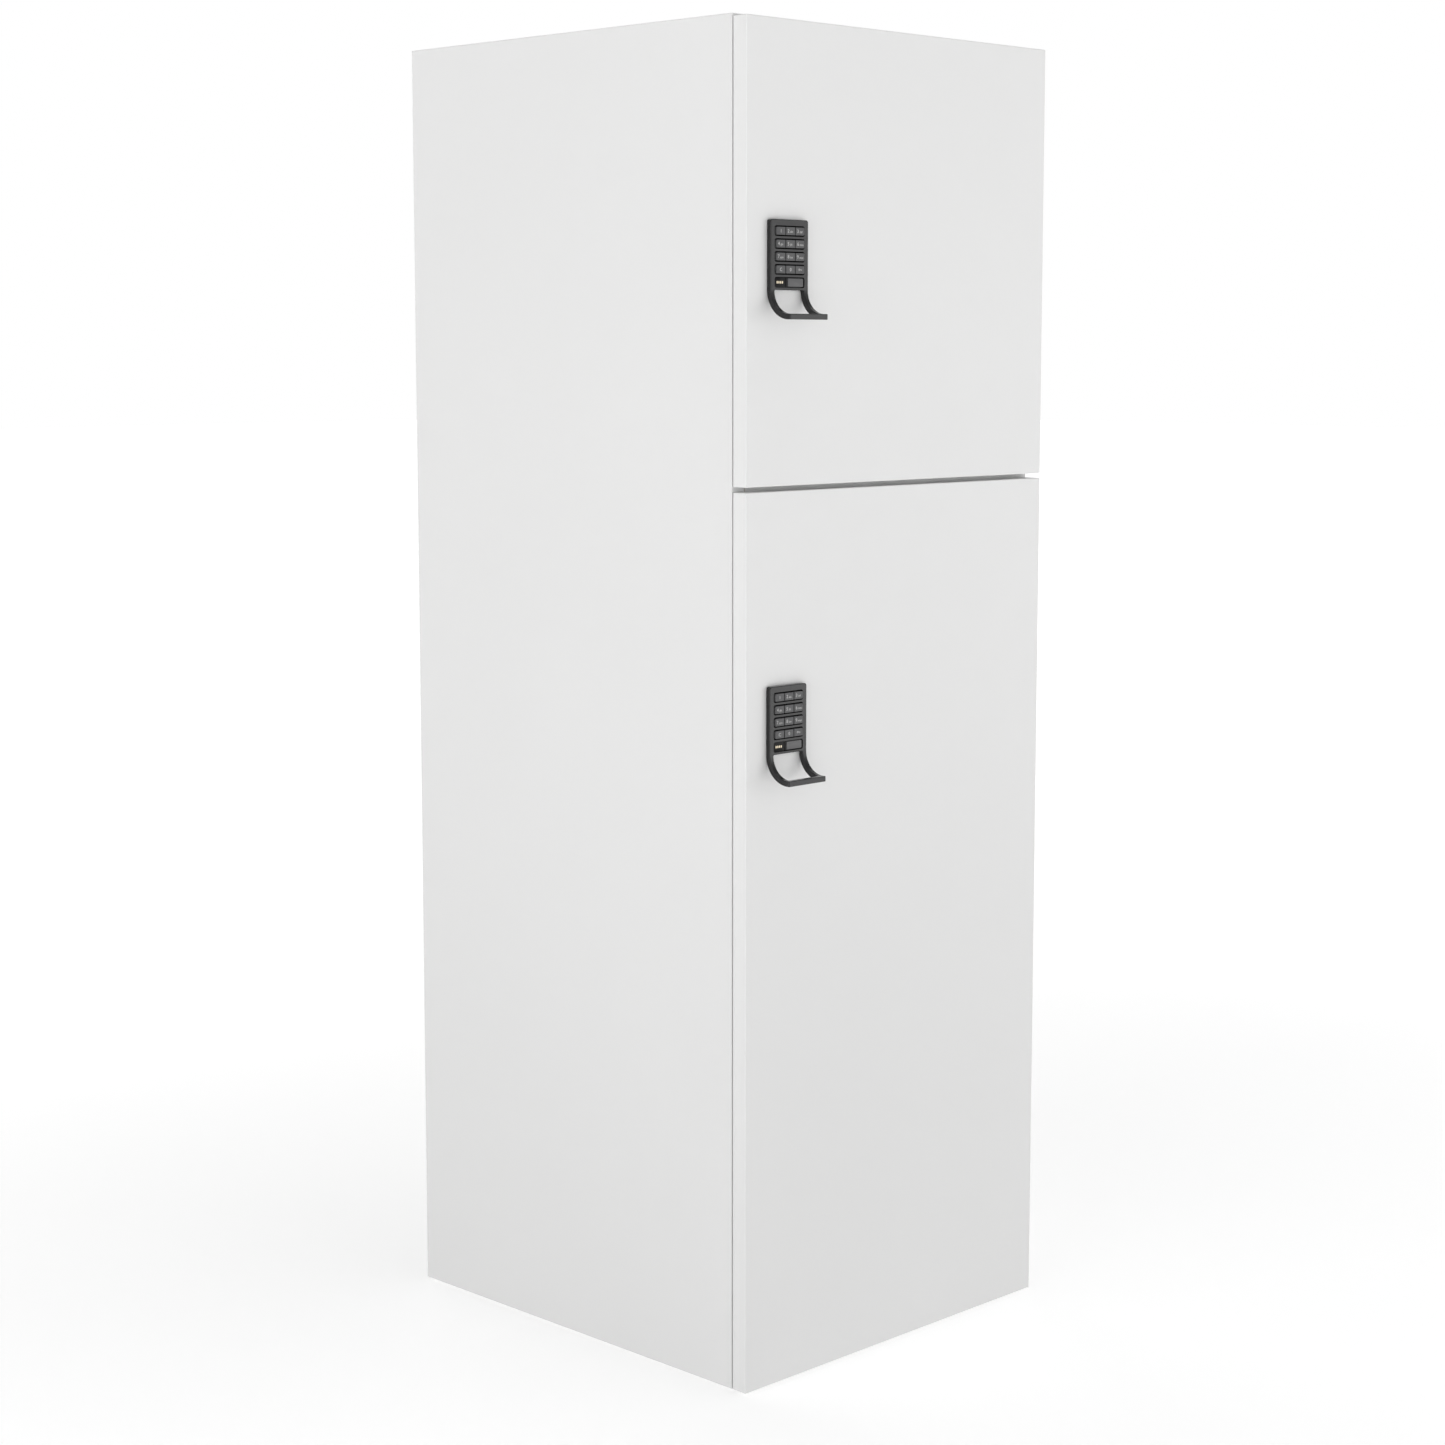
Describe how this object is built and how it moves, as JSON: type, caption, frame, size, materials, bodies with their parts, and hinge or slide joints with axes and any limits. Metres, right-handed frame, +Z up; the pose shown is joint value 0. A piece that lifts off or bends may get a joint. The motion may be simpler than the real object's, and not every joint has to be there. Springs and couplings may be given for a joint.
{
  "type": "parcel locker",
  "caption": "Tall parcel locker in white board with an upper and a lower compartment, full-overlay doors on concealed hinges, and keypad locks with built-in pull handles.",
  "frame": {"origin": "centre of the footprint, pulls included, on the floor under the glides", "axes": "+Z up, doors face -Y, doors hinged on the right (+X) as seen from the front"},
  "size_m": [0.45, 0.5318, 1.354],
  "materials": {
    "white_board": "white melamine faced chipboard, very fine texture, 1 mm edge band",
    "white_back_board": "white lacquered fibreboard",
    "white_nylon": "white nylon",
    "zinc_fitting": "zinc die-cast, bright",
    "nickel_steel": "nickel-plated pressed steel",
    "zinc_screw": "bright zinc plated",
    "pin_steel": "ground steel",
    "bolt_steel": "nickel-plated zinc casting",
    "black_housing": "satin black painted zinc casting",
    "black_rubber": "matt black silicone",
    "black_window": "gloss black with a grey blank plate",
    "black_case": "fine spark-eroded black plastic",
    "battery_sleeve": "plain printed sleeve, no mark",
    "key_grey": "mid grey keys with light printed digits"
  },
  "bodies": {
    "carcass": {"left_side_panel": "white_board", "right_side_panel": "white_board", "top_panel": "white_board", "bottom_panel": "white_board", "divider_panel": "white_board", "back_panel": "white_back_board", "floor_glides": "white_nylon", "cam_fittings": "zinc_fitting", "strike_plates": "nickel_steel", "hinge_mounting_plates": "nickel_steel", "hinge_arms": "nickel_steel", "carcass_screws": "zinc_screw"},
    "upper_door": {"upper_door_panel": "white_board", "upper_hinge_cups": "nickel_steel", "upper_cup_screws": "zinc_screw", "upper_hinge_pins": "pin_steel", "upper_lock_handle": "black_housing", "upper_keypad_mat": "black_rubber", "upper_display_window": "black_window", "upper_lock_case": "black_case", "upper_battery_cover": "black_case", "upper_batteries": "battery_sleeve", "upper_lock_screws": "zinc_screw"},
    "upper_bolt": {"upper_lock_bolt": "bolt_steel"},
    "upper_key_1_cap": {"upper_key_1": "key_grey"},
    "upper_key_2_cap": {"upper_key_2": "key_grey"},
    "upper_key_3_cap": {"upper_key_3": "key_grey"},
    "upper_key_4_cap": {"upper_key_4": "key_grey"},
    "upper_key_5_cap": {"upper_key_5": "key_grey"},
    "upper_key_6_cap": {"upper_key_6": "key_grey"},
    "upper_key_7_cap": {"upper_key_7": "key_grey"},
    "upper_key_8_cap": {"upper_key_8": "key_grey"},
    "upper_key_9_cap": {"upper_key_9": "key_grey"},
    "upper_key_clear_cap": {"upper_key_clear": "key_grey"},
    "upper_key_0_cap": {"upper_key_0": "key_grey"},
    "upper_key_enter_cap": {"upper_key_enter": "key_grey"},
    "lower_door": {"lower_door_panel": "white_board", "lower_hinge_cups": "nickel_steel", "lower_cup_screws": "zinc_screw", "lower_hinge_pins": "pin_steel", "lower_lock_handle": "black_housing", "lower_keypad_mat": "black_rubber", "lower_display_window": "black_window", "lower_lock_case": "black_case", "lower_battery_cover": "black_case", "lower_batteries": "battery_sleeve", "lower_lock_screws": "zinc_screw"},
    "lower_bolt": {"lower_lock_bolt": "bolt_steel"},
    "lower_key_1_cap": {"lower_key_1": "key_grey"},
    "lower_key_2_cap": {"lower_key_2": "key_grey"},
    "lower_key_3_cap": {"lower_key_3": "key_grey"},
    "lower_key_4_cap": {"lower_key_4": "key_grey"},
    "lower_key_5_cap": {"lower_key_5": "key_grey"},
    "lower_key_6_cap": {"lower_key_6": "key_grey"},
    "lower_key_7_cap": {"lower_key_7": "key_grey"},
    "lower_key_8_cap": {"lower_key_8": "key_grey"},
    "lower_key_9_cap": {"lower_key_9": "key_grey"},
    "lower_key_clear_cap": {"lower_key_clear": "key_grey"},
    "lower_key_0_cap": {"lower_key_0": "key_grey"},
    "lower_key_enter_cap": {"lower_key_enter": "key_grey"}
  },
  "joints": [
    {"name": "door_upper", "type": "hinge", "parent": "carcass", "child": "upper_door", "pos_m": [0.2194, -0.2256, 1.129], "axis": [0, 0, 1], "range_deg": [0, 95]},
    {"name": "bolt_upper", "type": "slide", "parent": "upper_door", "child": "upper_bolt", "axis": [-1, 0, 0], "range_m": [0, 0.009]},
    {"name": "key_upper_1", "type": "slide", "parent": "upper_door", "child": "upper_key_1_cap", "axis": [0, 1, 0], "range_m": [0, 0.0008], "stiffness_N_per_m": 250, "springref_m": -0.001},
    {"name": "key_upper_2", "type": "slide", "parent": "upper_door", "child": "upper_key_2_cap", "axis": [0, 1, 0], "range_m": [0, 0.0008], "stiffness_N_per_m": 250, "springref_m": -0.001},
    {"name": "key_upper_3", "type": "slide", "parent": "upper_door", "child": "upper_key_3_cap", "axis": [0, 1, 0], "range_m": [0, 0.0008], "stiffness_N_per_m": 250, "springref_m": -0.001},
    {"name": "key_upper_4", "type": "slide", "parent": "upper_door", "child": "upper_key_4_cap", "axis": [0, 1, 0], "range_m": [0, 0.0008], "stiffness_N_per_m": 250, "springref_m": -0.001},
    {"name": "key_upper_5", "type": "slide", "parent": "upper_door", "child": "upper_key_5_cap", "axis": [0, 1, 0], "range_m": [0, 0.0008], "stiffness_N_per_m": 250, "springref_m": -0.001},
    {"name": "key_upper_6", "type": "slide", "parent": "upper_door", "child": "upper_key_6_cap", "axis": [0, 1, 0], "range_m": [0, 0.0008], "stiffness_N_per_m": 250, "springref_m": -0.001},
    {"name": "key_upper_7", "type": "slide", "parent": "upper_door", "child": "upper_key_7_cap", "axis": [0, 1, 0], "range_m": [0, 0.0008], "stiffness_N_per_m": 250, "springref_m": -0.001},
    {"name": "key_upper_8", "type": "slide", "parent": "upper_door", "child": "upper_key_8_cap", "axis": [0, 1, 0], "range_m": [0, 0.0008], "stiffness_N_per_m": 250, "springref_m": -0.001},
    {"name": "key_upper_9", "type": "slide", "parent": "upper_door", "child": "upper_key_9_cap", "axis": [0, 1, 0], "range_m": [0, 0.0008], "stiffness_N_per_m": 250, "springref_m": -0.001},
    {"name": "key_upper_clear", "type": "slide", "parent": "upper_door", "child": "upper_key_clear_cap", "axis": [0, 1, 0], "range_m": [0, 0.0008], "stiffness_N_per_m": 250, "springref_m": -0.001},
    {"name": "key_upper_0", "type": "slide", "parent": "upper_door", "child": "upper_key_0_cap", "axis": [0, 1, 0], "range_m": [0, 0.0008], "stiffness_N_per_m": 250, "springref_m": -0.001},
    {"name": "key_upper_enter", "type": "slide", "parent": "upper_door", "child": "upper_key_enter_cap", "axis": [0, 1, 0], "range_m": [0, 0.0008], "stiffness_N_per_m": 250, "springref_m": -0.001},
    {"name": "door_lower", "type": "hinge", "parent": "carcass", "child": "lower_door", "pos_m": [0.2194, -0.2256, 0.45275], "axis": [0, 0, 1], "range_deg": [0, 95]},
    {"name": "bolt_lower", "type": "slide", "parent": "lower_door", "child": "lower_bolt", "axis": [-1, 0, 0], "range_m": [0, 0.009]},
    {"name": "key_lower_1", "type": "slide", "parent": "lower_door", "child": "lower_key_1_cap", "axis": [0, 1, 0], "range_m": [0, 0.0008], "stiffness_N_per_m": 250, "springref_m": -0.001},
    {"name": "key_lower_2", "type": "slide", "parent": "lower_door", "child": "lower_key_2_cap", "axis": [0, 1, 0], "range_m": [0, 0.0008], "stiffness_N_per_m": 250, "springref_m": -0.001},
    {"name": "key_lower_3", "type": "slide", "parent": "lower_door", "child": "lower_key_3_cap", "axis": [0, 1, 0], "range_m": [0, 0.0008], "stiffness_N_per_m": 250, "springref_m": -0.001},
    {"name": "key_lower_4", "type": "slide", "parent": "lower_door", "child": "lower_key_4_cap", "axis": [0, 1, 0], "range_m": [0, 0.0008], "stiffness_N_per_m": 250, "springref_m": -0.001},
    {"name": "key_lower_5", "type": "slide", "parent": "lower_door", "child": "lower_key_5_cap", "axis": [0, 1, 0], "range_m": [0, 0.0008], "stiffness_N_per_m": 250, "springref_m": -0.001},
    {"name": "key_lower_6", "type": "slide", "parent": "lower_door", "child": "lower_key_6_cap", "axis": [0, 1, 0], "range_m": [0, 0.0008], "stiffness_N_per_m": 250, "springref_m": -0.001},
    {"name": "key_lower_7", "type": "slide", "parent": "lower_door", "child": "lower_key_7_cap", "axis": [0, 1, 0], "range_m": [0, 0.0008], "stiffness_N_per_m": 250, "springref_m": -0.001},
    {"name": "key_lower_8", "type": "slide", "parent": "lower_door", "child": "lower_key_8_cap", "axis": [0, 1, 0], "range_m": [0, 0.0008], "stiffness_N_per_m": 250, "springref_m": -0.001},
    {"name": "key_lower_9", "type": "slide", "parent": "lower_door", "child": "lower_key_9_cap", "axis": [0, 1, 0], "range_m": [0, 0.0008], "stiffness_N_per_m": 250, "springref_m": -0.001},
    {"name": "key_lower_clear", "type": "slide", "parent": "lower_door", "child": "lower_key_clear_cap", "axis": [0, 1, 0], "range_m": [0, 0.0008], "stiffness_N_per_m": 250, "springref_m": -0.001},
    {"name": "key_lower_0", "type": "slide", "parent": "lower_door", "child": "lower_key_0_cap", "axis": [0, 1, 0], "range_m": [0, 0.0008], "stiffness_N_per_m": 250, "springref_m": -0.001},
    {"name": "key_lower_enter", "type": "slide", "parent": "lower_door", "child": "lower_key_enter_cap", "axis": [0, 1, 0], "range_m": [0, 0.0008], "stiffness_N_per_m": 250, "springref_m": -0.001}
  ]
}
